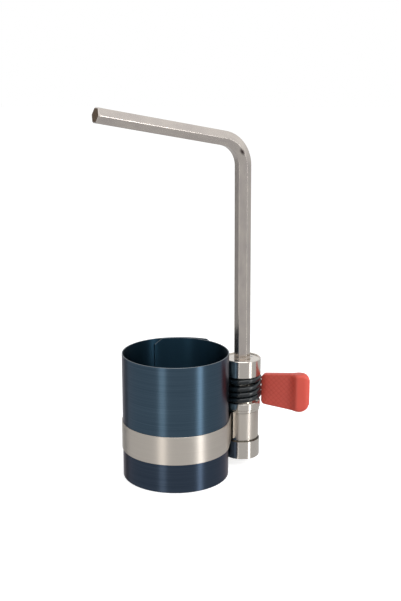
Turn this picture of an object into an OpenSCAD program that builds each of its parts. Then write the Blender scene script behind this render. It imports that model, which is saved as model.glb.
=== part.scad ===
// Piston ring compressor: a spring steel sleeve drawn in by a band that a hex key winds into a barrel.
// The sleeve stands on its lower rim. Its axis is the Z axis, and its lower rim is at Z = 0.

/* [Sleeve] */
// Bore of the sleeve as it is set
sleeve_bore_d = 72.6; // [60:0.2:84]
// Height of the sleeve
sleeve_h = 89; // [70:1:120]
// Thickness of the spring steel sheet
sheet_t = 0.7; // [0.4:0.05:1]
// Direction of the sheet's inner end, in degrees
sheet_end_angle = 116; // [105:1:130]
// How far the sheet overlaps itself, in degrees
sheet_overlap = 60; // [40:1:70]
// How far the sheet's outer end has sprung open: the shift of its own centre
sheet_spring = 6; // [1:0.5:8]
// Length of the chamfer on the sheet's four corners
sheet_corner = 6; // [2:0.5:8]
// Height of the chamfer on the sheet's four corners
sheet_corner_h = 4; // [2:0.5:8]
// Clearance between the sheet's two layers
sheet_gap = 0.1; // [0.05:0.05:0.3]

/* [Tension band] */
// Width of the band
band_w = 20; // [14:0.5:26]
// Thickness of the band
band_t = 0.5; // [0.3:0.05:0.7]
// Height of the band's lower edge above the sleeve's foot
band_z = 20.4; // [17:0.2:30]
// Clearance between the band and what it wraps
band_gap = 0.08; // [0.05:0.01:0.15]
// Where the band's outer end stops on the tube, in degrees
band_seam_angle = 249; // [242:1:262]
// Width of the slot that lets the band into the tube
band_slot_w = 2.8; // [1.6:0.1:3.4]
// Clearance of the band's edges in the tube's slot
band_slot_gap = 0.25; // [0.1:0.05:0.4]

/* [Barrel] */
// Direction of the barrel from the sleeve's axis, in degrees
barrel_angle = 23.8; // [15:0.2:32]
// Clearance between the sleeve and the widest piece of the barrel
barrel_gap = 0.35; // [0.3:0.05:1.5]
// Outside diameter of the housing tube
tube_d = 23; // [21:0.1:24]
// Wall of the housing tube
tube_wall = 1.9; // [1.4:0.1:2.2]
// How far the tube stops short of the bottom ring's lower face
tube_inset = 0.6; // [0.2:0.1:2]
// Depth of the tube's seat in the lower drum
tube_seat = 5.6; // [3.5:0.1:6]
// Edge chamfer of the turned pieces
edge_c = 0.4; // [0.2:0.05:0.6]

/* [Bottom ring] */
// Diameter of the bottom ring
ring_d = 25.8; // [25:0.1:28]
// Height of the bottom ring
ring_h = 13.5; // [10:0.1:16]
// Gap between the bottom ring and the band
ring_gap = 0.9; // [0.4:0.1:1.5]

/* [Lower drum] */
// Diameter of the lower drum
lower_drum_d = 26.2; // [25.4:0.1:28]
// Height of the lower drum's flange
lower_drum_h = 7; // [6.6:0.1:10]
// Height of the step at the flange's foot
lower_step_h = 2.2; // [1:0.1:4]
// Depth of the step at the flange's foot
lower_step = 0.6; // [0.3:0.1:0.7]
// Gap between the lower drum and the band
drum_gap = 0.4; // [0.2:0.1:1]

/* [Wrap spring] */
// Wire of the wrap spring
wire_d = 3.8; // [3:0.1:4]
// Turns of the wrap spring
coil_turns = 3.8; // [3.7:0.05:3.9]
// Rise of the coil for each turn
coil_pitch = 4.1; // [4.05:0.05:4.6]
// How flat each turn lies before it steps up on the next
coil_step = 1.5; // [0.8:0.1:1.6]
// Extra opening below the last turn
coil_open = 1.3; // [0.6:0.1:1.6]
// Clearance between the coil and the hubs it wraps
coil_gap = 0.18; // [0.15:0.01:0.3]
// Clearance between the coil's ends and the drums' flanges
coil_end_gap = 0.12; // [0.1:0.01:0.3]
// Diameter of the two hubs inside the coil
hub_d = 20; // [19.4:0.1:20.6]
// Direction of the tangent point where the coil's lower end leaves, in degrees
tang_angle = 70; // [62:1:78]

/* [Upper drum] */
// Diameter of the upper drum
upper_drum_d = 26.5; // [25:0.1:28]
// Height of the upper drum's flange
upper_drum_h = 12.5; // [9:0.1:15]
// Depth of the recess in the upper drum
recess_depth = 0.8; // [0.5:0.1:3]
// Thickness of the rim around the recess
rim_t = 1.2; // [1:0.1:2.5]

/* [Winding shaft] */
// Diameter of the shaft around the key's socket
shaft_head_d = 15.2; // [14.6:0.1:15.8]
// Diameter of the shaft where the band winds
shaft_core_d = 11; // [9:0.1:12]
// Diameter of the shaft's lower journal
shaft_journal_d = 9; // [7:0.1:10]
// Depth of the key's socket
socket_depth = 28; // [20:0.5:30]
// Wall of solid metal below the socket
socket_floor = 5.6; // [4:0.1:7]
// Countersink of the socket's mouth
socket_mouth = 1; // [0.5:0.1:1.2]
// Diameter of the pin that holds the band's inner end
anchor_pin_d = 2.4; // [1.5:0.1:3]
// Diameter of the dowel between the shaft and the upper drum
dowel_d = 2; // [1.6:0.1:2.2]
// Length of the dowel
dowel_len = 10; // [6:0.5:14]
// Direction of the dowel from the arm's own direction, in degrees
dowel_angle = 180; // [120:60:240]

/* [Bearings] */
// Wall of the upper bush
upper_bush_wall = 1.3; // [0.9:0.1:1.5]
// Height of the lower bush
lower_bush_h = 7; // [5:0.1:8]
// Thickness of the thrust washer between the hubs
thrust_t = 0.5; // [0.4:0.05:1]
// Thickness of the washer below the lower bush
washer_t = 0.8; // [0.5:0.1:1.2]
// Diameter of the washer below the lower bush
washer_d = 16; // [12:0.5:18]
// Thickness of the retaining ring
circlip_t = 0.8; // [0.6:0.1:1]
// Depth of the retaining ring's groove
circlip_groove = 0.9; // [0.6:0.1:1.2]
// Outside diameter of the retaining ring
circlip_d = 13; // [11.5:0.1:14]
// Opening of the retaining ring, in degrees
circlip_open = 70; // [40:5:120]
// Running clearance of the shaft in its bushes
run_gap = 0.05; // [0.03:0.01:0.1]
// Clearance of pieces that are pressed together
seat_gap = 0.02; // [0.01:0.01:0.03]

/* [Hex key] */
// Key size across flats
key_af = 10; // [8:0.1:10.4]
// Clearance of the key in its socket
key_gap = 0.12; // [0.05:0.01:0.15]
// How much of the socket's play the key leans over by
key_play = 0.72; // [0:0.02:0.8]
// Height of the arm's root above the upper drum
key_rise = 153; // [100:1:180]
// Length of the arm from the shaft's axis
key_arm = 111.6; // [80:0.2:140]
// Angle that the key is bent through
key_bend = 78.6; // [60:0.2:90]
// Bend radius at the middle of the bar
key_bend_r = 20; // [10:0.1:25]
// Direction of the arm, in degrees
key_azimuth = 210; // [150:1:270]
// Chamfer of the key's ends
key_chamfer = 0.8; // [0.3:0.1:1.2]

/* [Release lever] */
// Length of the lever
lever_len = 35; // [28:0.2:45]
// Distance of the lever's root from the tangent point of the coil
lever_reach = 11.4; // [11.2:0.1:14]
// Height of the lever at its root
lever_root_h = 22.4; // [16:0.2:26]
// Height of the lever at its free end
lever_end_h = 28.6; // [20:0.2:34]
// Thickness of the lever's neck
lever_neck_t = 5.2; // [4.8:0.1:7.2]
// Thickness of the lever's end block
lever_end_t = 11; // [9:0.1:16]
// Length of the lever's end block
lever_block = 8.4; // [6:0.1:12]
// Rounding of the end block's upright edges
lever_round = 3.2; // [2:0.1:4]
// Radius of the hollow between the neck and the end block
lever_flare_r = 9; // [6:0.5:14]
// Chamfer at the root's corners
lever_root_c = 2.6; // [1:0.1:4]
// Length of the rounding at the free end's corners
lever_end_c = 6.4; // [2:0.1:8]
// Height of the rounding at the free end's corners
lever_end_drop = 5; // [2:0.1:7]
// Height of the lever's middle above the wire in it
lever_lift = 3.6; // [0:0.1:5]
// How far the wire reaches into the lever
tang_grip = 15; // [8:0.5:20]

/* [Hidden] */
$fn = 96;
over = 1;
arc_step = 3;
coil_sides = 10;
coil_steps = 30;
bend_steps = 16;

// The sheet is a spiral of three centres: it grows by one layer in a turn, and its outer end springs open.
sheet_r = sleeve_bore_d / 2;
layer = sheet_t + sheet_gap;
sheet_dir = [cos(sheet_end_angle), sin(sheet_end_angle)];
sheet_shift = layer / 2 * sheet_dir;
end_shift = -sheet_spring * sheet_dir;
end_r = sheet_r + layer + sheet_spring;
sleeve_or = sheet_r + sheet_t;
band_top = band_z + band_w;

// The barrel stands clear of the sleeve by its widest piece.
tube_or = tube_d / 2;
tube_ir = tube_or - tube_wall;
hub_r = hub_d / 2;
coil_r = hub_r + coil_gap + wire_d / 2;
coil_or = coil_r + wire_d / 2;
barrel_r = max(coil_or, upper_drum_d / 2, lower_drum_d / 2, ring_d / 2);
barrel_dist = sleeve_or + barrel_gap + barrel_r;
barrel_pos = barrel_dist * [cos(barrel_angle), sin(barrel_angle), 0];

// Heights along the barrel, from its foot to its top
ring_top = band_z - ring_gap;
ring_z = ring_top - ring_h;
tube_z = ring_z + tube_inset;
drum_z = band_top + drum_gap;
tube_top = drum_z + tube_seat;
coil_z = drum_z + lower_drum_h;
coil_room = coil_pitch * coil_turns + coil_open + wire_d / 2 + 2 * coil_end_gap;
drum_top_z = coil_z + coil_room;
barrel_top = drum_top_z + upper_drum_h;
floor_z = barrel_top - recess_depth;
hub_joint_z = coil_z + coil_room / 2;
upper_hub_z = hub_joint_z + thrust_t + 2 * run_gap;

// Shaft, bushes and what holds them
head_r = shaft_head_d / 2;
core_r = shaft_core_d / 2;
journal_r = shaft_journal_d / 2;
bush_r = head_r + run_gap + upper_bush_wall;
socket_z = floor_z - socket_depth;
core_top = socket_z - socket_floor;
core_z = ring_top + run_gap;
bush_z = ring_top - lower_bush_h;
washer_z = bush_z - run_gap - washer_t;
circlip_z = washer_z - run_gap - circlip_t;
shaft_z = circlip_z - circlip_groove;
groove_r = journal_r - circlip_groove;
pin_hole_d = anchor_pin_d + 2 * seat_gap;

// The band leaves the sleeve on a line that runs into the turns wound on the shaft.
band_r = sleeve_or + band_gap;
wind_r = core_r + band_gap;
wind_layer = band_t + band_gap;
band_line = wind_r + wind_layer;
leave_angle = barrel_angle - acos((band_r + band_t + band_line) / barrel_dist);
leave_run = barrel_dist * sin(barrel_angle - leave_angle);
wound_or = band_line + band_t;
band_stop = sqrt(pow(wound_or + 0.4, 2) - pow(band_line, 2));
eye_r = tube_or + band_gap;
back_r = band_r + layer + sheet_spring;
back_line = [barrel_pos.x, barrel_pos.y] - end_shift;
back_angle = atan2(back_line.y, back_line.x) + acos((back_r - eye_r) / norm(back_line));

// Hex key
hex_r = key_af / sqrt(3);
socket_r = (key_af + 2 * key_gap) / sqrt(3);
mouth_r = socket_r + socket_mouth / 2;
key_z = socket_z + 2 * key_gap;
key_corner_z = barrel_top + key_rise;
key_tangent = key_bend_r * tan(key_bend / 2);
key_bend_z = key_corner_z - key_tangent;
key_pivot_z = socket_z + socket_depth / 2;
key_lean = atan(2 * key_play * key_gap / cos(30) / socket_depth);

// Wrap spring and lever
wire_r = wire_d / 2;
wire_z = coil_z + coil_end_gap + wire_r;
coil_top = drum_top_z - coil_end_gap - wire_r;
tang_len = lever_reach + tang_grip;
tang_pos = coil_r * [cos(tang_angle), sin(tang_angle), 0];
lever_block_x = lever_len - lever_block;
lever_flare_a = acos(1 - (lever_end_t - lever_neck_t) / 2 / lever_flare_r);
lever_flare_x = lever_block_x - lever_flare_r * sin(lever_flare_a);

steel = "silver";
dark_steel = "slategray";

module at_barrel() {
    translate(barrel_pos)
        children();
}

// A strip bent round a centre: from one angle through a sweep, with its inner face at radius r
module strip_arc(r, t, h, from, sweep) {
    rotate([0, 0, from])
        rotate_extrude(angle = sweep)
            translate([r, 0])
                square([t, h]);
}

// A turned ring with a chamfer on its outer edges
module turned_ring(outer, inner, z0, z1, chamfer) {
    rotate_extrude()
        polygon([[inner, z0], [outer - chamfer, z0], [outer, z0 + chamfer],
                 [outer, z1 - chamfer], [outer - chamfer, z1], [inner, z1]]);
}

// A solid through rings of points that all have the same count, each ring drawn the same way round
module loft(rings) {
    sides = len(rings[0]);
    last = len(rings) - 1;
    at = function (k, i) k * sides + i % sides;
    faces = concat(
        [[for (i = [0:sides - 1]) i]],
        [for (k = [0:last - 1], i = [0:sides - 1]) [at(k, i), at(k + 1, i), at(k, i + 1)]],
        [for (k = [0:last - 1], i = [0:sides - 1]) [at(k + 1, i), at(k + 1, i + 1), at(k, i + 1)]],
        [[for (i = [sides - 1:-1:0]) at(last, i)]]);
    polyhedron([for (ring = rings) each ring], faces);
}

// The two corner cuts at an end of the sheet, on the side that the sheet lies
module sheet_corners(r, angle, side) {
    slope = sheet_corner_h / sheet_corner;
    for (up = [-1, 1])
        rotate([0, 0, angle])
            translate([r, 0, up > 0 ? sleeve_h : 0])
                rotate([0, 90, 0])
                    linear_extrude(4 * layer + 2 * sheet_corner, center = true)
                        polygon([[up * slope * (sheet_corner + over), -side * over],
                                 [-up * slope * over, side * (sheet_corner + over)],
                                 [-up * 2 * over, -side * over]]);
}

module compression_sleeve() {
    color(dark_steel)
        rotate([0, 0, sheet_end_angle]) {
            difference() {
                strip_arc(sheet_r, sheet_t, sleeve_h, 0, -180);
                sheet_corners(sheet_r, 0, -1);
            }
            translate([layer / 2, 0, 0])
                strip_arc(sheet_r + layer / 2, sheet_t, sleeve_h, 0, 180);
            translate([-sheet_spring, 0, 0])
                difference() {
                    strip_arc(end_r, sheet_t, sleeve_h, 0, -sheet_overlap);
                    sheet_corners(end_r, -sheet_overlap, 1);
                }
        }
}

// Points along an arc round a centre, from one angle to another
function arc_points(centre, r, from, to) = let (n = ceil((to - from) / arc_step))
    [for (i = [0:n]) let (a = from + (to - from) * i / n) centre + r * [cos(a), sin(a)]];

// The band's path with a distance added outwards: round the tube, across to the sleeve, round it and back
function band_path(out) = concat(
    arc_points([barrel_pos.x, barrel_pos.y], eye_r + out, band_seam_angle, back_angle + 360),
    arc_points(end_shift, back_r + out, back_angle, sheet_end_angle),
    arc_points(sheet_shift, band_r + layer / 2 + out, sheet_end_angle, sheet_end_angle + 180),
    arc_points([0, 0], band_r + out, sheet_end_angle + 180, leave_angle + 360),
    [(band_r + out) * [cos(leave_angle), sin(leave_angle)]
     + (leave_run - band_stop) * [-sin(leave_angle), cos(leave_angle)]]);

module tension_band() {
    inside = band_path(0);
    outside = band_path(band_t);
    color(steel)
        translate([0, 0, band_z])
            linear_extrude(band_w)
                polygon(concat(inside, [for (i = [len(outside) - 1:-1:0]) outside[i]]));
}

module housing_tube() {
    slot_h = band_w + 2 * band_slot_gap;
    color(steel)
        at_barrel()
            difference() {
                turned_ring(tube_or, tube_ir, tube_z, tube_top, edge_c / 2);
                rotate([0, 0, leave_angle])
                    translate([-band_line - band_t / 2 - band_slot_w / 2, -tube_d, band_z - band_slot_gap])
                        cube([band_slot_w, tube_d - tube_wall, slot_h]);
            }
}

module bottom_ring() {
    color(steel)
        at_barrel()
            turned_ring(ring_d / 2, tube_or + seat_gap, ring_z, ring_top, edge_c);
}

module lower_drum() {
    drum_r = lower_drum_d / 2;
    seat_r = tube_or + seat_gap;
    bush_seat_r = bush_r + seat_gap;
    color(steel)
        at_barrel()
            rotate_extrude()
                polygon([[seat_r, drum_z], [drum_r - lower_step, drum_z],
                         [drum_r - lower_step, drum_z + lower_step_h - lower_step],
                         [drum_r, drum_z + lower_step_h], [drum_r, coil_z - edge_c],
                         [drum_r - edge_c, coil_z], [hub_r, coil_z], [hub_r, hub_joint_z - edge_c],
                         [hub_r - edge_c, hub_joint_z], [bush_seat_r, hub_joint_z],
                         [bush_seat_r, tube_top + seat_gap], [seat_r, tube_top + seat_gap]]);
}

module upper_bush() {
    color("darkgoldenrod")
        at_barrel()
            turned_ring(bush_r, head_r + run_gap, tube_top + seat_gap, hub_joint_z, edge_c / 2);
}

module lower_bush() {
    color("darkgoldenrod")
        at_barrel()
            turned_ring(tube_ir - seat_gap, journal_r + run_gap, bush_z, ring_top, edge_c);
}

module thrust_washer() {
    color("darkgoldenrod")
        at_barrel()
            turned_ring(hub_r - edge_c, head_r + run_gap, hub_joint_z, hub_joint_z + thrust_t, thrust_t / 5);
}

module bottom_washer() {
    color(steel)
        at_barrel()
            turned_ring(washer_d / 2, journal_r + run_gap, washer_z, washer_z + washer_t, washer_t / 5);
}

// The wedge left out of the retaining ring
module circlip_mouth(angle) {
    reach = circlip_d;
    linear_extrude(4 * circlip_t, center = true)
        polygon([[0, 0], reach * [cos(angle / 2), -sin(angle / 2)], reach * [cos(angle / 2), sin(angle / 2)]]);
}

module retaining_ring() {
    color(dark_steel)
        at_barrel()
            difference() {
                turned_ring(circlip_d / 2, groove_r + seat_gap, circlip_z, circlip_z + circlip_t, circlip_t / 5);
                translate([0, 0, circlip_z])
                    circlip_mouth(circlip_open);
            }
}

// Places a piece on the band's own line through the shaft, at the middle of the band
module on_band_line() {
    translate([0, 0, band_z])
        rotate([0, 0, leave_angle])
            children();
}

module anchor_pin_shape(d, reach) {
    on_band_line()
        translate([0, 0, band_w / 2])
            rotate([90, 0, 0])
                cylinder(h = 2 * reach, d = d, center = true);
}

module dowel_shape(gap) {
    rotate([0, 0, key_azimuth + dowel_angle])
        translate([head_r, 0, floor_z - dowel_len - gap])
            cylinder(h = dowel_len + 2 * gap, d = dowel_d + 2 * gap);
}

module winding_shaft() {
    slot_x = anchor_pin_d + edge_c;
    color(steel)
        at_barrel()
            difference() {
                rotate_extrude()
                    polygon([[0, shaft_z], [journal_r - edge_c, shaft_z], [journal_r, shaft_z + edge_c],
                             [journal_r, circlip_z - run_gap], [groove_r, circlip_z - run_gap],
                             [groove_r, circlip_z + circlip_t + run_gap],
                             [journal_r, circlip_z + circlip_t + run_gap], [journal_r, core_z],
                             [core_r, core_z], [core_r, core_top - edge_c], [head_r, core_top + edge_c],
                             [head_r, floor_z], [0, floor_z]]);
                rotate([0, 0, key_azimuth + 30])
                    translate([0, 0, socket_z])
                        cylinder(h = socket_depth + over, r = socket_r, $fn = 6);
                rotate([0, 0, key_azimuth])
                    translate([0, 0, floor_z - 3 * socket_mouth])
                        cylinder(h = 3 * socket_mouth + over, r1 = mouth_r - 3 * socket_mouth, r2 = mouth_r + over);
                on_band_line()
                    translate([-slot_x, -band_t - band_gap, -band_slot_gap])
                        cube([slot_x + core_r + over, band_t + 2 * band_gap, band_w + 2 * band_slot_gap]);
                anchor_pin_shape(pin_hole_d, core_r + over);
                dowel_shape(seat_gap);
            }
}

module upper_drum() {
    drum_r = upper_drum_d / 2;
    bore_r = head_r + seat_gap;
    recess_r = drum_r - rim_t;
    color(steel)
        at_barrel()
            difference() {
                rotate_extrude()
                    polygon([[bore_r, upper_hub_z], [hub_r - edge_c, upper_hub_z],
                             [hub_r, upper_hub_z + edge_c], [hub_r, drum_top_z],
                             [drum_r - edge_c, drum_top_z], [drum_r, drum_top_z + edge_c],
                             [drum_r, barrel_top - edge_c], [drum_r - edge_c, barrel_top],
                             [recess_r + edge_c, barrel_top], [recess_r, barrel_top - edge_c],
                             [recess_r, floor_z], [bore_r, floor_z]]);
                dowel_shape(seat_gap);
            }
}

module drum_dowel() {
    color(dark_steel)
        at_barrel()
            dowel_shape(0);
}

module band_anchor_pin() {
    color(dark_steel)
        at_barrel()
            anchor_pin_shape(anchor_pin_d, core_r - 2 * edge_c);
}

// The band's inner end: a tongue held in the shaft's slot, and a turn and a half wound round the shaft
module band_wound_end() {
    tongue_x = anchor_pin_d;
    color(steel)
        at_barrel()
            difference() {
                on_band_line() {
                    translate([-tongue_x, -band_t, 0])
                        cube([tongue_x + wind_r + band_t, band_t, band_w]);
                    strip_arc(wind_r, band_t, band_w, 0, 180);
                    translate([wind_layer / 2, 0, 0])
                        strip_arc(wind_r + wind_layer / 2, band_t, band_w, 180, 180);
                    strip_arc(wind_r + wind_layer, band_t, band_w, 0, 180);
                }
                anchor_pin_shape(pin_hole_d, core_r);
            }
}

// Height of the wire's middle after n turns: each turn lies flat, then steps up over the one below it
function smooth_step(x) = let (c = max(0, min(1, x))) c * c * (3 - 2 * c);
function wire_height(n) = min(coil_top, wire_z + coil_pitch * n - coil_step * (1 - cos(360 * n)) / 2
                                        + coil_open * smooth_step((n - coil_turns + 1.3) / 0.9));
// A ring of points round the wire at turn n, drawn along the tangent by a distance
function wire_ring(n, along) = [for (i = [0:coil_sides - 1])
    let (a = tang_angle + 360 * n, s = 360 * i / coil_sides,
         r = coil_r + wire_r * cos(s))
    [r * cos(a) + along * sin(a), r * sin(a) - along * cos(a), wire_height(n) + wire_r * sin(s)]];

module wrap_spring() {
    steps = ceil(coil_turns * coil_steps);
    color("dimgray")
        at_barrel()
            loft(concat([wire_ring(0, tang_len)],
                        [for (k = [0:steps]) wire_ring(coil_turns * k / steps, 0)]));
}

// Outline of the lever seen from above, along X from its root: a neck, two hollows and the end block
module lever_plan() {
    neck = lever_neck_t / 2;
    half = lever_end_t / 2;
    round_x = lever_len - lever_round;
    round_y = half - lever_round;
    difference() {
        translate([0, -half])
            square([round_x, lever_end_t]);
        for (side = [-1, 1]) {
            translate([-over, side > 0 ? neck : -neck - lever_end_t])
                square([lever_flare_x + over, lever_end_t]);
            translate([lever_flare_x, side * (neck + lever_flare_r)])
                circle(lever_flare_r);
        }
    }
    for (side = [-1, 1])
        translate([round_x, side * round_y])
            circle(lever_round);
    translate([round_x - over, -round_y])
        square([lever_round + over, 2 * round_y]);
}

// Outline of the lever seen from its flat side, from its root: its free end has rounded corners
module lever_side() {
    root = lever_root_h / 2;
    slope = (lever_end_h - lever_root_h) / 2 / lever_len;
    end = root + slope * (lever_len - lever_end_c);
    upper = concat([[0, root - lever_root_c], [lever_root_c, root + slope * lever_root_c]],
                   [for (a = [0:22.5:90]) [lever_len - lever_end_c * (1 - sin(a)),
                                           end - lever_end_drop * (1 - cos(a))]]);
    polygon(concat(upper, [for (i = [len(upper) - 1:-1:0]) [upper[i].x, -upper[i].y]]));
}

module release_lever() {
    color("firebrick")
        at_barrel()
            translate([0, 0, wire_z] + tang_pos)
                rotate([0, 0, tang_angle - 90])
                    translate([lever_reach, 0, 0])
                        difference() {
                            translate([0, 0, lever_lift])
                                intersection() {
                                    rotate([90, 0, 0])
                                        linear_extrude(2 * lever_end_t, center = true)
                                            lever_side();
                                    linear_extrude(2 * lever_end_h, center = true)
                                        lever_plan();
                                }
                            rotate([0, 90, 0])
                                translate([0, 0, -over])
                                    cylinder(h = tang_grip + seat_gap + over, r = wire_r + seat_gap);
                        }
}

// A hexagon square to the key's bar where the bar has turned by an angle, with flats above and below
function key_ring(x, z, turn, r) = [for (k = [0:5])
    let (u = r * cos(30 + 60 * k), v = r * sin(30 + 60 * k))
    [x + u * cos(turn), v, z - u * sin(turn)]];
// A hexagon on the straight arm, at a distance from the corner of the key
function arm_ring(run, r) = key_ring(run * sin(key_bend), key_corner_z + run * cos(key_bend), key_bend, r);

module hex_key() {
    small_r = hex_r - key_chamfer;
    bend_rings = [for (i = [0:bend_steps])
        let (turn = key_bend * i / bend_steps)
        key_ring(key_bend_r * (1 - cos(turn)), key_bend_z + key_bend_r * sin(turn), turn, hex_r)];
    color("lightgray")
        at_barrel()
            translate([0, 0, key_pivot_z])
                rotate([0, -key_lean, 0])
                    rotate([0, 0, key_azimuth])
                        translate([0, 0, -key_pivot_z])
                            loft(concat([key_ring(0, key_z, 0, small_r), key_ring(0, key_z + key_chamfer, 0, hex_r)],
                                        bend_rings,
                                        [arm_ring(key_arm - key_chamfer, hex_r), arm_ring(key_arm, small_r)]));
}

compression_sleeve();
tension_band();
housing_tube();
lower_drum();
bottom_ring();
upper_bush();
lower_bush();
thrust_washer();
bottom_washer();
winding_shaft();
upper_drum();
drum_dowel();
band_wound_end();
band_anchor_pin();
retaining_ring();
wrap_spring();
release_lever();
hex_key();
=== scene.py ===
import math

import bpy
from mathutils import Matrix, Vector


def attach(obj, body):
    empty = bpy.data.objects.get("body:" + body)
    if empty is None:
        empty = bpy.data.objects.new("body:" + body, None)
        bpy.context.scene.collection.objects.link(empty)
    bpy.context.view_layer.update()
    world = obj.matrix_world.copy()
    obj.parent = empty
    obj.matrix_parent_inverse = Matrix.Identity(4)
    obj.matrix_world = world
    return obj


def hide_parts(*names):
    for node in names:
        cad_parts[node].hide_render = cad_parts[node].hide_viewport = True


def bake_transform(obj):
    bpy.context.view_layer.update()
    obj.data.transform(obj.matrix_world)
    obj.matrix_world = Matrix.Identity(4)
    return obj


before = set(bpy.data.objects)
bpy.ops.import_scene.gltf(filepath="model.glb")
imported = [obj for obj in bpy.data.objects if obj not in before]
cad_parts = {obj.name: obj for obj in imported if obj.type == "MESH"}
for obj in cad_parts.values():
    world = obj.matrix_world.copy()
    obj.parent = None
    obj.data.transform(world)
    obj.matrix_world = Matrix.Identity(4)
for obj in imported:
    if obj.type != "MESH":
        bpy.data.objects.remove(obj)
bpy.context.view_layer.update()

MM = 0.001

# Lengths in millimetres and angles in degrees, as in the part's source
SLEEVE_R = 36.3
SLEEVE_H = 89.0
SHEET_T = 0.7
SHEET_END = 116.0
SHEET_LAP = 60.0
SHEET_SPRING = 6.0
SHEET_CORNER = 6.0
SHEET_CORNER_H = 4.0
LAYER = 0.8
BAND_W = 20.0
BAND_T = 0.5
BAND_Z = 20.4
BAND_GAP = 0.08
BAND_SEAM = 249.0
BAND_STOP_GAP = 0.4
BARREL_ANGLE = 23.8
BARREL_DIST = 51.33
TUBE_R = 11.5
CORE_R = 5.5
WIRE_R = 1.9
COIL_R = 12.08
COIL_TURNS = 3.8
COIL_PITCH = 4.1
COIL_STEP = 1.5
COIL_OPEN = 1.3
COIL_END_GAP = 0.12
COIL_Z = 47.8
TANG_ANGLE = 70.0
UPPER_DRUM_H = 12.5
RECESS = 0.8
SOCKET_DEPTH = 28.0
LEVER_REACH = 11.4
LEVER_LEN = 35.0
LEVER_ROOT_H = 22.4
LEVER_NECK_T = 5.2
LEVER_END_T = 11.0
LEVER_BLOCK = 8.4
LEVER_LIFT = 3.6
LEVER_FLARE_R = 9.0
LEVER_ROUND = 3.2
LEVER_END_C = 6.4
LEVER_END_DROP = 5.0
KEY_AF = 10.0
KEY_RISE = 153.0
KEY_ARM = 111.6
KEY_BEND = 78.6
KEY_BEND_R = 20.0
KEY_AZIMUTH = 210.0
KEY_CHAMFER = 0.8
KEY_GAP = 0.12
KEY_PLAY = 0.72

# The rest is the scene's own. The lever is about 1 mm higher at its end and squarer at its root than
# the solid, and its end is rounder.
LEVER_END_H = 29.6
LEVER_ROOT_C = 1.7
LEVER_TURN = 0.38
LEVER_TOP_C = 5.0
LEVER_TOP_DROP = 3.7
LEVER_TIP = 0.5
LEVER_TIP_INSET = 1.9
LEVER_INSET_SHARE = 0.4
LEVER_EDGE = 0.9
LEVER_EDGE_MORE = 1.6
LEVER_EDGE_FROM = 20.0
LEVER_EDGE_RUN = 8.0
LEVER_EDGE_MIN = 0.25
LEVER_EDGE_ROOM = 0.3
LEVER_TIP_ROOM = 0.1
LEVER_ROOT = ((0.0, 0.7), (0.15, 0.4), (0.4, 0.15), (0.8, 0.0))
LEVER_STEPS = 46
PLAN_STEP = 0.25
PLAN_SIDE = 6

# Softened edges, and how finely the meshes are cut
SHEET_EDGE = 0.14
SHEET_EDGE_SHARE = 0.3
SHEET_SIDES = 8
SAME_POINT = 0.02
FINE_ARC = 1.0
ARC = 1.5
COARSE_ARC = 2.0
BAND_RUN_STEPS = 4
WIRE_SIDES = 24
WIRE_STEPS = 72
WIRE_END = ((0.002, 0.93), (0.004, 0.8))
TANG_IN_LEVER = 14.0
TANG_STEPS = 12
OPEN_FROM = 1.3
OPEN_TURNS = 0.9
CORNER_STEPS = 6
TIP_STEP = 9
KEY_EDGE = 0.55
KEY_EDGE_STEPS = 4
KEY_STEPS = 6
BEND_STEPS = 32

# Patterns: the lever's diamonds, and the dark mark on the key's bend
KNURL_PITCH = 3.8
KNURL_FADE = (24.0, 27.5)
KNURL_STRENGTH = 0.3
KNURL_DEPTH = 0.3
MARK_U = 176.3
MARK_V = 4.9
MARK_LONG = 3.6
MARK_WIDE = 1.9

coil_room = COIL_PITCH * COIL_TURNS + COIL_OPEN + WIRE_R + 2 * COIL_END_GAP
drum_top_z = COIL_Z + coil_room
barrel_top = drum_top_z + UPPER_DRUM_H
coil_top = drum_top_z - COIL_END_GAP - WIRE_R
wire_z = COIL_Z + COIL_END_GAP + WIRE_R
bx = BARREL_DIST * math.cos(math.radians(BARREL_ANGLE))
by = BARREL_DIST * math.sin(math.radians(BARREL_ANGLE))


def polar(r, degrees):
    return r * math.cos(math.radians(degrees)), r * math.sin(math.radians(degrees))


def smooth(x):
    x = min(1.0, max(0.0, x))
    return x * x * (3 - 2 * x)


# Materials
QUARTER_TURN = 0.25


def material(name, colour, roughness, metallic=1.0, anisotropy=0.0, tangent=None):
    """A plain surface. The tangent, "uv" or "radial", is the way that it is brushed."""
    m = bpy.data.materials.new(name)
    m.use_nodes = True
    shader = m.node_tree.nodes["Principled BSDF"]
    shader.inputs["Base Color"].default_value = (*colour, 1)
    shader.inputs["Metallic"].default_value = metallic
    shader.inputs["Roughness"].default_value = roughness
    shader.inputs["Anisotropic"].default_value = anisotropy
    shader.inputs["Anisotropic Rotation"].default_value = QUARTER_TURN
    if tangent:
        t = m.node_tree.nodes.new("ShaderNodeTangent")
        if tangent == "uv":
            t.direction_type = "UV_MAP"
            t.uv_map = "UVMap"
        else:
            t.direction_type = "RADIAL"
            t.axis = "Z"
        m.node_tree.links.new(t.outputs["Tangent"], shader.inputs["Tangent"])
    return m


def uv_of(tree):
    node = tree.nodes.new("ShaderNodeUVMap")
    node.uv_map = "UVMap"
    return node.outputs["UV"]


def split(tree, vector):
    node = tree.nodes.new("ShaderNodeSeparateXYZ")
    tree.links.new(vector, node.inputs["Vector"])
    return node.outputs


def scaled(tree, vector, scale, shift=(0, 0)):
    node = tree.nodes.new("ShaderNodeMapping")
    node.inputs["Scale"].default_value = (*scale, 1)
    node.inputs["Location"].default_value = (*shift, 0)
    tree.links.new(vector, node.inputs["Vector"])
    return node.outputs["Vector"]


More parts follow.
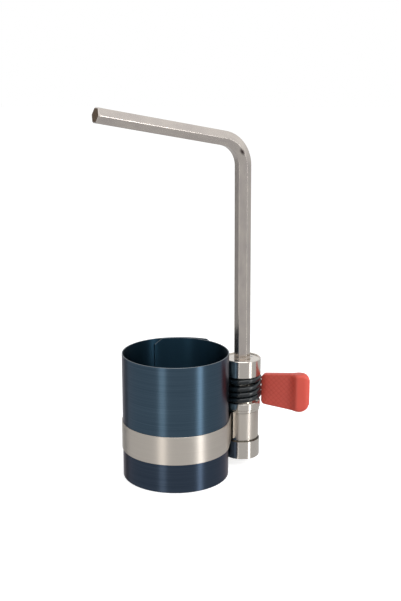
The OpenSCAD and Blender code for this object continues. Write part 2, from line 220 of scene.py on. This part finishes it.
def ranged(tree, value, start, stop, low=0.0, high=1.0):
    """A number that runs from low to high while value runs from start to stop."""
    node = tree.nodes.new("ShaderNodeMapRange")
    node.inputs["From Min"].default_value = start
    node.inputs["From Max"].default_value = stop
    node.inputs["To Min"].default_value = low
    node.inputs["To Max"].default_value = high
    tree.links.new(value, node.inputs["Value"])
    return node.outputs["Result"]


def blended(tree, value, low, high, start=0.0, stop=1.0):
    """A colour that runs from low to high while value runs from start to stop."""
    node = tree.nodes.new("ShaderNodeValToRGB")
    first, last = node.color_ramp.elements
    first.position = start
    last.position = stop
    first.color = (*low, 1)
    last.color = (*high, 1)
    tree.links.new(value, node.inputs["Fac"])
    return node.outputs["Color"]


def below_band(tree, uv):
    """White above the band, and a darker violet tint below it."""
    up = ranged(tree, split(tree, uv)["Y"], BAND_Z, BAND_Z + BAND_W)
    return blended(tree, up, (0.74, 0.64, 0.68), (1, 1, 1))


def bend_mark(tree, uv):
    """White, with one dark mark on the key's bend."""
    spot = tree.nodes.new("ShaderNodeTexGradient")
    spot.gradient_type = "SPHERICAL"
    around = scaled(tree, uv, (1 / MARK_LONG, 1 / MARK_WIDE), (-MARK_U / MARK_LONG, -MARK_V / MARK_WIDE))
    tree.links.new(around, spot.inputs["Vector"])
    return blended(tree, spot.outputs["Fac"], (1, 1, 1), (0.14, 0.12, 0.12), 0.05, 0.75)


def grain(m, low, high, scale, spread, shade=None):
    """Fine streaks along U, coloured from low to high. shade gives a colour that multiplies them."""
    tree = m.node_tree
    uv = uv_of(tree)
    noise = tree.nodes.new("ShaderNodeTexNoise")
    noise.inputs["Scale"].default_value = 1.0
    noise.inputs["Detail"].default_value = 4.0
    tree.links.new(scaled(tree, uv, scale), noise.inputs["Vector"])
    colour = blended(tree, noise.outputs["Fac"], low, high, 0.5 - spread, 0.5 + spread)
    if shade:
        both = tree.nodes.new("ShaderNodeVectorMath")
        both.operation = "MULTIPLY"
        tree.links.new(colour, both.inputs[0])
        tree.links.new(shade(tree, uv), both.inputs[1])
        colour = both.outputs["Vector"]
    tree.links.new(colour, tree.nodes["Principled BSDF"].inputs["Base Color"])


def knurl(m, low, high):
    """A shallow diamond pattern over U and V, in millimetres, that ends before the lever's end block."""
    tree = m.node_tree
    shader = tree.nodes["Principled BSDF"]
    parts = split(tree, uv_of(tree))
    u, v = parts["X"], parts["Y"]

    def calc(kind, first, second=None):
        node = tree.nodes.new("ShaderNodeMath")
        node.operation = kind
        for number, value in enumerate((first, second)):
            if isinstance(value, float):
                node.inputs[number].default_value = value
            elif value is not None:
                tree.links.new(value, node.inputs[number])
        return node.outputs["Value"]

    def ridges(kind):
        return calc("ABSOLUTE", calc("SINE", calc("MULTIPLY", calc(kind, u, v), math.pi / KNURL_PITCH)))

    height = calc("POWER", calc("MULTIPLY", ridges("ADD"), ridges("SUBTRACT")), 0.5)
    height = calc("MAXIMUM", height, ranged(tree, u, *KNURL_FADE))
    tree.links.new(blended(tree, height, low, high, 0.1, 0.75), shader.inputs["Base Color"])
    bump = tree.nodes.new("ShaderNodeBump")
    bump.inputs["Strength"].default_value = KNURL_STRENGTH
    bump.inputs["Distance"].default_value = KNURL_DEPTH * MM
    tree.links.new(height, bump.inputs["Height"])
    tree.links.new(bump.outputs["Normal"], shader.inputs["Normal"])


def shade_upward_faces(m, lit_colour, shade_colour):
    """Painted shade: a dark colour on the faces that look up, which stands in for the shadowed dark line
    above the bottom ring.
    """
    tree = m.node_tree
    where = tree.nodes.new("ShaderNodeNewGeometry")
    colour = blended(tree, split(tree, where.outputs["Normal"])["Z"], lit_colour, shade_colour, 0.3, 0.6)
    tree.links.new(colour, tree.nodes["Principled BSDF"].inputs["Base Color"])


BARREL_COLOUR = (0.63, 0.59, 0.54)
blued = material("blued_steel", (0.06, 0.1, 0.142), 0.28, anisotropy=0.7, tangent="uv")
grain(blued, (0.045, 0.079, 0.115), (0.071, 0.115, 0.16), (0.012, 1.6), 0.25, below_band)
blued_shader = blued.node_tree.nodes["Principled BSDF"]
blued_shader.inputs["Specular Tint"].default_value = (0.78, 0.72, 0.74, 1)
# The sleeve's inner face: blued steel, smoother, with a darker base colour that is painted shade inside the
# roll
shaded_blued_inside = material("blued_steel_inside_painted_shade", (0.022, 0.058, 0.092), 0.34, anisotropy=0.9, tangent="uv")
# Painted highlight: a lighter grey on the sleeve's upper rim, which stands in for the bright reflection on
# its upward faces
rim_highlight = material("sheet_rim_painted_highlight", (0.155, 0.18, 0.2), 0.4)
strip = material("band_steel", (0.59, 0.545, 0.49), 0.385, anisotropy=0.76, tangent="uv")
grain(strip, (0.54, 0.495, 0.445), (0.62, 0.575, 0.52), (0.015, 3.0), 0.3)
polished = material("barrel_steel", BARREL_COLOUR, 0.19, anisotropy=0.6, tangent="radial")
# The bottom ring's metal, with painted shade on its faces that look up
shaded_ledge = material("barrel_ledge_painted_shade", BARREL_COLOUR, 0.19, anisotropy=0.6, tangent="radial")
shade_upward_faces(shaded_ledge, BARREL_COLOUR, (0.07, 0.06, 0.045))
bronze = material("bronze", (0.5, 0.34, 0.16), 0.35)
pin_steel = material("pin_steel", (0.25, 0.25, 0.26), 0.35)
black = material("black_spring_steel", (0.006, 0.009, 0.011), 0.21, metallic=0.0)
red = material("red_plastic", (0.54, 0.064, 0.042), 0.45, metallic=0.0)
knurl(red, (0.5, 0.056, 0.036), (0.56, 0.069, 0.046))
key_end = material("key_end", (0.12, 0.08, 0.05), 0.45)
key_steel = material("key_steel", (0.58, 0.545, 0.515), 0.22)
grain(key_steel, (0.52, 0.475, 0.45), (0.62, 0.57, 0.52), (0.07, 0.16), 0.22, bend_mark)

SLOTS = {
    "housing_tube": polished,
    "lower_drum": polished,
    "bottom_ring": shaded_ledge,
    "bottom_washer": polished,
    "winding_shaft": polished,
    "upper_drum": polished,
    "upper_bush": bronze,
    "lower_bush": bronze,
    "thrust_washer": bronze,
    "drum_dowel": pin_steel,
    "band_anchor_pin": pin_steel,
    "retaining_ring": pin_steel,
    "band_wound_end": strip,
    "compression_sleeve": blued,
    "tension_band": strip,
    "wrap_spring": black,
    "release_lever": red,
    "hex_key": key_steel,
}
for name, m in SLOTS.items():
    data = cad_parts[name].data
    data.materials.clear()
    data.materials.append(m)


# Meshes


def loft(name, rings, uvs, m, body, node, sharp=38.0):
    """A mesh through rings of points in millimetres, with caps on both ends.

    uvs has a row for each ring, with a (u, v) for each point and one more that closes the ring.
    """
    count = len(rings[0])
    last = len(rings) - 1
    verts = [tuple(c * MM for c in p) for ring in rings for p in ring]
    # Each corner of a face: its ring, its point and its place in the ring's row of uvs
    faces = []
    for k in range(last):
        for i in range(count):
            j = (i + 1) % count
            faces.append(((k, i, i), (k, j, i + 1), (k + 1, j, i + 1), (k + 1, i, i)))
    faces.append([(0, i, i) for i in range(count - 1, -1, -1)])
    faces.append([(last, i, i) for i in range(count)])
    mesh = bpy.data.meshes.new(name)
    mesh.from_pydata(verts, [], [[k * count + i for k, i, w in face] for face in faces])
    layer = mesh.uv_layers.new(name="UVMap")
    corners = [corner for face in faces for corner in face]
    for n, (k, i, w) in enumerate(corners):
        layer.data[n].uv = uvs[k][w]
    mesh.polygons.foreach_set("use_smooth", [True] * len(mesh.polygons))
    mesh.set_sharp_from_angle(angle=math.radians(sharp))
    mesh.materials.append(m)
    obj = bpy.data.objects.new(name, mesh)
    bpy.context.scene.collection.objects.link(obj)
    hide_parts(node)
    if body:
        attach(obj, body)
    return obj


def arc(centre, r, start, stop, step=ARC):
    """Points and outward directions along an arc."""
    n = max(2, math.ceil(abs(stop - start) / step))
    out = []
    for i in range(n + 1):
        a = start + (stop - start) * i / n
        ux, uy = polar(1, a)
        out.append((centre[0] + r * ux, centre[1] + r * uy, ux, uy))
    return out


def joined(*runs):
    """Runs of path points one after another, without doubled points."""
    path = []
    for run in runs:
        for p in run:
            if not path or math.hypot(p[0] - path[-1][0], p[1] - path[-1][1]) > SAME_POINT:
                path.append(p)
    return path


def ribbon(name, path, thickness, heights, m, body, node):
    """A strip that follows a path of inner-face points. heights(s, length) gives its lower and upper edge."""
    lengths = [0.0]
    for a, b in zip(path, path[1:]):
        lengths.append(lengths[-1] + math.hypot(b[0] - a[0], b[1] - a[1]))
    c = min(SHEET_EDGE, thickness * SHEET_EDGE_SHARE)
    rings, uvs = [], []
    for (x, y, ux, uy), s in zip(path, lengths):
        low, top = heights(s, lengths[-1])
        profile = [(0, low + c), (0, top - c), (c, top), (thickness - c, top),
                   (thickness, top - c), (thickness, low + c), (thickness - c, low), (c, low)]
        rings.append([(x + ux * d, y + uy * d, z) for d, z in profile])
        uvs.append([(s, z) for d, z in profile] + [(s, profile[0][1])])
    return loft(name, rings, uvs, m, body, node)


# The sleeve: the sprung outer lap, half a turn that closes in by one layer, and the inner half turn
ux, uy = polar(1, SHEET_END)
shift = (LAYER / 2 * ux, LAYER / 2 * uy)
end_shift = (-SHEET_SPRING * ux, -SHEET_SPRING * uy)
end_r = SLEEVE_R + LAYER + SHEET_SPRING


def sleeve_heights(s, length):
    """The sheet's edges, with a corner cut off at each end."""
    near = min(s, length - s)
    cut = SHEET_CORNER_H * max(0.0, 1 - near / SHEET_CORNER)
    return cut, SLEEVE_H - cut


sleeve_path = joined(
    arc(end_shift, end_r, SHEET_END - SHEET_LAP, SHEET_END, FINE_ARC),
    arc(shift, SLEEVE_R + LAYER / 2, SHEET_END, SHEET_END + 180),
    arc((0, 0), SLEEVE_R, SHEET_END + 180, SHEET_END + 360, FINE_ARC))
sleeve = ribbon("rolled_sleeve", sleeve_path, SHEET_T, sleeve_heights, blued, "housing",
                "compression_sleeve")
# The inner face's darker material is painted shade
sleeve.data.materials.append(shaded_blued_inside)
# The upper rim's lighter material is a painted highlight
sleeve.data.materials.append(rim_highlight)
# Round the ribbon's profile: the inner face, the upper rim's three faces, and the blued rest
SLEEVE_FACES = (1, 2, 2, 2, 0, 0, 0, 0)
for number, face in enumerate(sleeve.data.polygons):
    if number < SHEET_SIDES * (len(sleeve_path) - 1):
        face.material_index = SLEEVE_FACES[number % SHEET_SIDES]

# The band: round the tube, across to the sleeve, round it and back into the tube
band_r = SLEEVE_R + SHEET_T + BAND_GAP
eye_r = TUBE_R + BAND_GAP
wind_r = CORE_R + BAND_GAP
band_line = wind_r + BAND_T + BAND_GAP
wound_or = band_line + BAND_T
band_stop = math.sqrt((wound_or + BAND_STOP_GAP) ** 2 - band_line**2)
leave = BARREL_ANGLE - math.degrees(math.acos((band_r + BAND_T + band_line) / BARREL_DIST))
leave_run = BARREL_DIST * math.sin(math.radians(BARREL_ANGLE - leave))
back_r = band_r + LAYER + SHEET_SPRING
vx, vy = bx - end_shift[0], by - end_shift[1]
back = math.degrees(math.atan2(vy, vx))
back += math.degrees(math.acos((back_r - eye_r) / math.hypot(vx, vy)))
lx, ly = polar(1, leave)
run = leave_run - band_stop


def band_heights(s, length):
    """The band's edges, level all the way."""
    return BAND_Z, BAND_Z + BAND_W


band_path = joined(
    arc((bx, by), eye_r, BAND_SEAM, back + 360, COARSE_ARC),
    arc(end_shift, back_r, back, SHEET_END),
    arc(shift, band_r + LAYER / 2, SHEET_END, SHEET_END + 180),
    arc((0, 0), band_r, SHEET_END + 180, leave + 360),
    [(band_r * lx - run * ly * k / BAND_RUN_STEPS, band_r * ly + run * lx * k / BAND_RUN_STEPS, lx, ly)
     for k in range(1, BAND_RUN_STEPS + 1)])
ribbon("band_strip", band_path, BAND_T, band_heights, strip, "housing", "tension_band")


# The wrap spring: a straight tang, then turns that lie flat and step up
def wire_height(n):
    """The wire's height after n turns. The last turn stands off from the others by a gap."""
    h = wire_z + COIL_PITCH * n - COIL_STEP * (1 - math.cos(2 * math.pi * n)) / 2
    return min(coil_top, h + COIL_OPEN * smooth((n - COIL_TURNS + OPEN_FROM) / OPEN_TURNS))


def wire_ring(n, along, k=1.0):
    """The wire's outline after n turns, moved along the tang, k times its size."""
    ax, ay = polar(1, TANG_ANGLE + 360 * n)
    z = wire_height(n)
    ring = []
    for i in range(WIRE_SIDES):
        s = 2 * math.pi * i / WIRE_SIDES
        r = COIL_R + k * WIRE_R * math.cos(s)
        ring.append((bx + r * ax + along * ay, by + r * ay - along * ax, z + k * WIRE_R * math.sin(s)))
    return ring


tang = LEVER_REACH + TANG_IN_LEVER
rings = [wire_ring(0, tang * (1 - k / TANG_STEPS)) for k in range(TANG_STEPS)]
steps = math.ceil(COIL_TURNS * WIRE_STEPS)
rings += [wire_ring(COIL_TURNS * k / steps, 0) for k in range(steps + 1)]
rings += [wire_ring(COIL_TURNS + past, 0, k) for past, k in WIRE_END]
uvs = [[(k * 1.0, i * 0.5) for i in range(WIRE_SIDES + 1)] for k in range(len(rings))]
spring = loft("wrap_coil", rings, uvs, black, None, "wrap_spring")
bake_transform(spring)


# The lever: stations along its length, each a rectangle with rounded corners
def lever_plan(x):
    """Half the thickness: a neck, a hollow and the end block."""
    neck, half = LEVER_NECK_T / 2, LEVER_END_T / 2
    crest = LEVER_LEN - LEVER_BLOCK
    start = crest - math.sqrt(LEVER_FLARE_R**2 - (LEVER_FLARE_R - half + neck) ** 2)
    if x <= start:
        return neck
    if x >= crest:
        return half - LEVER_TURN * (x - crest)
    return neck + LEVER_FLARE_R - math.sqrt(LEVER_FLARE_R**2 - (x - start) ** 2)


def lever_half_t(x):
    """The plan averaged over a short run, which softens its crest."""
    return sum(lever_plan(x + PLAN_STEP * k) for k in range(-PLAN_SIDE, PLAN_SIDE + 1)) / (2 * PLAN_SIDE + 1)


def lever_half_h(x, corner, drop):
    """Half the height, with a small corner at the root and a rounded one at the end."""
    slope = (LEVER_END_H - LEVER_ROOT_H) / 2 / LEVER_LEN
    h = LEVER_ROOT_H / 2 + slope * min(x, LEVER_LEN - corner)
    h -= LEVER_ROOT_C * max(0.0, 1 - x / LEVER_ROOT_C)
    over = min(1.0, max(0.0, 1 - (LEVER_LEN - x) / corner))
    return h - drop * (1 - math.sqrt(1 - over * over))


def lever_station(x, inset):
    """The lever's outline at x, drawn in by inset: rounder edges towards its end."""
    t = lever_half_t(x)
    top = lever_half_h(x, LEVER_TOP_C, LEVER_TOP_DROP) - LEVER_INSET_SHARE * inset
    low = lever_half_h(x, LEVER_END_C, LEVER_END_DROP) - LEVER_INSET_SHARE * inset
    r = LEVER_EDGE + LEVER_EDGE_MORE * smooth((x - LEVER_EDGE_FROM) / LEVER_EDGE_RUN)
    r = min(r, t - LEVER_EDGE_ROOM)
    t -= inset
    r = max(LEVER_EDGE_MIN, min(r, t - LEVER_TIP_ROOM))
    corners = ((t - r, top - r, 0), (r - t, top - r, 90), (r - t, r - low, 180), (t - r, r - low, 270))
    ring = []
    for cx, cy, a0 in corners:
        for k in range(CORNER_STEPS + 1):
            a = math.radians(a0 + 90 / CORNER_STEPS * k)
            ring.append((cx + r * math.cos(a), cy + r * math.sin(a)))
    return ring


d = Vector((math.cos(math.radians(TANG_ANGLE - 90)), math.sin(math.radians(TANG_ANGLE - 90)), 0))
side = Vector((-d.y, d.x, 0))
tx, ty = polar(COIL_R, TANG_ANGLE)
base = Vector((bx + tx, by + ty, wire_z + LEVER_LIFT)) + d * LEVER_REACH
root_x = LEVER_ROOT[-1][0]
tip_x = LEVER_LEN - LEVER_ROUND
stations = list(LEVER_ROOT)
stations += [(root_x + (tip_x - root_x) * k / LEVER_STEPS, 0.0) for k in range(1, LEVER_STEPS + 1)]
for a in range(TIP_STEP, 91, TIP_STEP):
    out = (LEVER_ROUND + LEVER_TIP) * math.sin(math.radians(a))
    stations.append((tip_x + out, LEVER_TIP_INSET * (1 - math.cos(math.radians(a)))))
rings, uvs = [], []
for x, inset in stations:
    flat = lever_station(x, inset)
    rings.append([tuple(base + d * x + side * c + Vector((0, 0, z))) for c, z in flat])
    uvs.append([(x, z) for c, z in flat] + [(x, flat[0][1])])
lever = loft("lever_grip", rings, uvs, red, "lever", "release_lever", sharp=60)


# The hex key: a bar with softly rounded corners along a bent path
def key_section(r):
    """A hexagon, its corners rounded."""
    out = []
    inner = r - KEY_EDGE / math.cos(math.radians(30))
    for k in range(6):
        a = 30 + 60 * k
        cx, cy = polar(inner, a)
        for j in range(KEY_EDGE_STEPS + 1):
            px, py = polar(KEY_EDGE, a - 30 + 60 / KEY_EDGE_STEPS * j)
            out.append((cx + px, cy + py))
    return out


hex_r = KEY_AF / math.sqrt(3)
key_z = barrel_top - RECESS - SOCKET_DEPTH + 2 * KEY_GAP
corner_z = barrel_top + KEY_RISE
bend_run = KEY_BEND_R * math.tan(math.radians(KEY_BEND / 2))
bend_z = corner_z - bend_run
# Each station: distance out along the arm, height, turn and corner radius
stations = [(0, key_z, 0, hex_r - KEY_CHAMFER), (0, key_z + KEY_CHAMFER, 0, hex_r)]
stations += [(0, key_z + (bend_z - key_z) * k / KEY_STEPS, 0, hex_r) for k in range(1, KEY_STEPS)]
for i in range(BEND_STEPS + 1):
    a = KEY_BEND * i / BEND_STEPS
    c, s = math.cos(math.radians(a)), math.sin(math.radians(a))
    stations.append((KEY_BEND_R * (1 - c), bend_z + KEY_BEND_R * s, a, hex_r))
arm = [(bend_run + (KEY_ARM - KEY_CHAMFER - bend_run) * k / KEY_STEPS, hex_r)
       for k in range(1, KEY_STEPS + 1)]
arm.append((KEY_ARM, hex_r - KEY_CHAMFER))
sb, cb = math.sin(math.radians(KEY_BEND)), math.cos(math.radians(KEY_BEND))
stations += [(run * sb, corner_z + run * cb, KEY_BEND, r) for run, r in arm]
ka, kb = polar(1, KEY_AZIMUTH)
# The key leans by its play in the socket
pivot_z = barrel_top - RECESS - SOCKET_DEPTH / 2
lean = math.atan(2 * KEY_PLAY * KEY_GAP / math.cos(math.radians(30)) / SOCKET_DEPTH)
cl, sl = math.cos(lean), math.sin(lean)
section = key_section(hex_r)
round_key = [0.0]
for here, there in zip(section, section[1:] + section[:1]):
    round_key.append(round_key[-1] + math.hypot(there[0] - here[0], there[1] - here[1]))
travel = 0.0
rings, uvs = [], []
for n, (x, z, turn, r) in enumerate(stations):
    if n:
        travel += math.hypot(x - stations[n - 1][0], z - stations[n - 1][1])
    c, s = math.cos(math.radians(turn)), math.sin(math.radians(turn))
    ring = []
    for u, v in key_section(r):
        px, pz = x + u * c, z - u * s
        qx, qy, qz = px * ka - v * kb, px * kb + v * ka, pz - pivot_z
        ring.append((bx + qx * cl - qz * sl, by + qy, pivot_z + qx * sl + qz * cl))
    rings.append(ring)
    uvs.append([(travel, w) for w in round_key])
key = loft("key_bar", rings, uvs, key_steel, "key", "hex_key", sharp=32)
key.data.materials.append(key_end)
key.data.polygons[len(key.data.polygons) - 1].material_index = 1
for o in (key, lever):
    o.modifiers.new("weighted", "WEIGHTED_NORMAL").keep_sharp = True

# Stage: a pale floor, a white surround, soft lights and one card. Lengths are in metres from here on.
FLOOR_HALF = 4
FLOOR_Z = -0.0003
FLOOR_COLOUR = (0.62, 0.62, 0.62)
FLOOR_GLOW = 0.72
FILL = 0.5
WALL_LEVEL = (-0.12, 0.3)
WALL_BRIGHT = (0.58, 1.0)
LIGHT_AIM = (0.02, 0.0, 0.07)

scene = bpy.context.scene
scene.view_settings.view_transform = "Standard"


def floor_material():
    """A matt floor. To the camera it also glows, so that it fades into the white surround."""
    m = material("floor", FLOOR_COLOUR, 0.9, metallic=0.0)
    tree = m.node_tree
    shader = tree.nodes["Principled BSDF"]
    shader.inputs["Specular IOR Level"].default_value = 0.1
    glow = tree.nodes.new("ShaderNodeEmission")
    glow.inputs["Strength"].default_value = FLOOR_GLOW
    rays = tree.nodes.new("ShaderNodeLightPath")
    add = tree.nodes.new("ShaderNodeAddShader")
    mix = tree.nodes.new("ShaderNodeMixShader")
    tree.links.new(shader.outputs["BSDF"], add.inputs[0])
    tree.links.new(glow.outputs["Emission"], add.inputs[1])
    tree.links.new(rays.outputs["Is Camera Ray"], mix.inputs["Fac"])
    tree.links.new(shader.outputs["BSDF"], mix.inputs[1])
    tree.links.new(add.outputs["Shader"], mix.inputs[2])
    tree.links.new(mix.outputs["Shader"], tree.nodes["Material Output"].inputs["Surface"])
    return m


def card(name, corners, m):
    mesh = bpy.data.meshes.new(name)
    mesh.from_pydata(corners, [], [(0, 1, 2, 3)])
    mesh.materials.append(m)
    obj = bpy.data.objects.new(name, mesh)
    scene.collection.objects.link(obj)
    return obj


square = ((-1, -1), (1, -1), (1, 1), (-1, 1))
floor = card("floor", [(FLOOR_HALF * x, FLOOR_HALF * y, FLOOR_Z) for x, y in square], floor_material())
# Upright walls would mirror only the floor, so reflections look past it to the surround and the lights
floor.visible_glossy = False
floor.visible_shadow = False


def surround():
    """White to the camera, and an even fill for matt surfaces.

    Metal sees white above, and a dimmer grey level with its walls and below.
    """
    world = bpy.data.worlds.new("surround")
    world.use_nodes = True
    tree = world.node_tree
    tree.nodes.clear()

    def background(strength):
        node = tree.nodes.new("ShaderNodeBackground")
        node.inputs["Color"].default_value = (1, 1, 1, 1)
        node.inputs["Strength"].default_value = strength
        return node

    white, fill, room = background(1.0), background(FILL), background(1.0)
    where = tree.nodes.new("ShaderNodeTexCoord")
    up = split(tree, where.outputs["Generated"])["Z"]
    tree.links.new(ranged(tree, up, *WALL_LEVEL, *WALL_BRIGHT), room.inputs["Color"])
    rays = tree.nodes.new("ShaderNodeLightPath")
    shiny = tree.nodes.new("ShaderNodeMath")
    shiny.operation = "MAXIMUM"
    mix = tree.nodes.new("ShaderNodeMixShader")
    last = tree.nodes.new("ShaderNodeMixShader")
    out = tree.nodes.new("ShaderNodeOutputWorld")
    tree.links.new(rays.outputs["Is Glossy Ray"], shiny.inputs[0])
    tree.links.new(rays.outputs["Is Transmission Ray"], shiny.inputs[1])
    tree.links.new(shiny.outputs["Value"], mix.inputs["Fac"])
    tree.links.new(fill.outputs["Background"], mix.inputs[1])
    tree.links.new(room.outputs["Background"], mix.inputs[2])
    tree.links.new(rays.outputs["Is Camera Ray"], last.inputs["Fac"])
    tree.links.new(mix.outputs["Shader"], last.inputs[1])
    tree.links.new(white.outputs["Background"], last.inputs[2])
    tree.links.new(last.outputs["Shader"], out.inputs["Surface"])
    return world


scene.world = surround()


def softbox(name, azimuth, distance, height, width, tall, bright, colour=(1, 1, 1), mirrored=True):
    """A light that faces the object. Azimuth 0 is the camera's side, and positive is to the right."""
    light = bpy.data.lights.new(name, "AREA")
    light.shape = "RECTANGLE"
    light.size = width
    light.size_y = tall
    light.energy = bright * math.pi * width * tall
    light.color = colour
    obj = bpy.data.objects.new(name, light)
    a = math.radians(azimuth)
    obj.location = (distance * math.sin(a), -distance * math.cos(a), height)
    aim = Vector(LIGHT_AIM) - obj.location
    obj.rotation_mode = "QUATERNION"
    obj.rotation_quaternion = aim.to_track_quat("-Z", "Y")
    obj.visible_camera = False
    obj.visible_glossy = mirrored
    scene.collection.objects.link(obj)


softbox("right_box", azimuth=53, distance=0.9, height=0.1, width=0.22, tall=1.3, bright=1.25)
softbox("right_strip", azimuth=53.5, distance=0.88, height=0.1, width=0.085, tall=1.3, bright=2.3)
softbox("right_high", azimuth=54, distance=0.9, height=0.45, width=0.1, tall=0.36, bright=8.0)
softbox("left_strip", azimuth=-27, distance=1.1, height=0.1, width=0.27, tall=1.4, bright=1.35,
        colour=(1.0, 0.96, 0.91))
softbox("top_box", azimuth=10, distance=0.5, height=1.3, width=1.0, tall=1.0, bright=1.6)
softbox("side_fill", azimuth=75, distance=0.9, height=0.35, width=0.5, tall=0.6, bright=5.5, mirrored=False)


def flag(name, azimuth, distance, width, low, high, grey):
    """A grey card that only reflections see, set off from the barrel's axis."""
    a = math.radians(azimuth)
    middle = Vector((bx * MM + distance * math.sin(a), by * MM - distance * math.cos(a), 0))
    across = Vector((math.cos(a), math.sin(a), 0)) * width / 2
    sides = ((-1, low), (1, low), (1, high), (-1, high))
    corners = [middle + across * k + Vector((0, 0, z)) for k, z in sides]
    obj = card(name, corners, material(name, (grey, grey, grey), 0.9, metallic=0.0))
    obj.visible_camera = False
    obj.visible_diffuse = False
    obj.visible_shadow = False
    obj.visible_transmission = False


flag("left_flag", azimuth=-117.6, distance=0.28, width=0.09, low=-0.2, high=0.3, grey=0.3)

# The camera, as fitted to the photograph: focal length in pixels, look down in degrees, roll in radians
FOCAL = 1053.4118
PICTURE_H = 601
SENSOR = 36.0
LOOK_DOWN = 14.034288
ROLL = 0.0019
cam = bpy.data.cameras.new("camera")
cam.sensor_fit = "VERTICAL"
cam.sensor_height = SENSOR
cam.lens = FOCAL / PICTURE_H * SENSOR
camera = bpy.data.objects.new("camera", cam)
scene.collection.objects.link(camera)
camera.location = (0.0170, -0.700352, 0.3010209)
camera.rotation_mode = "QUATERNION"
turn = Matrix.Rotation(math.radians(90 - LOOK_DOWN), 4, "X") @ Matrix.Rotation(ROLL, 4, "Z")
camera.rotation_quaternion = turn.to_quaternion()
cam.clip_start = 0.01
cam.clip_end = 50
scene.camera = camera
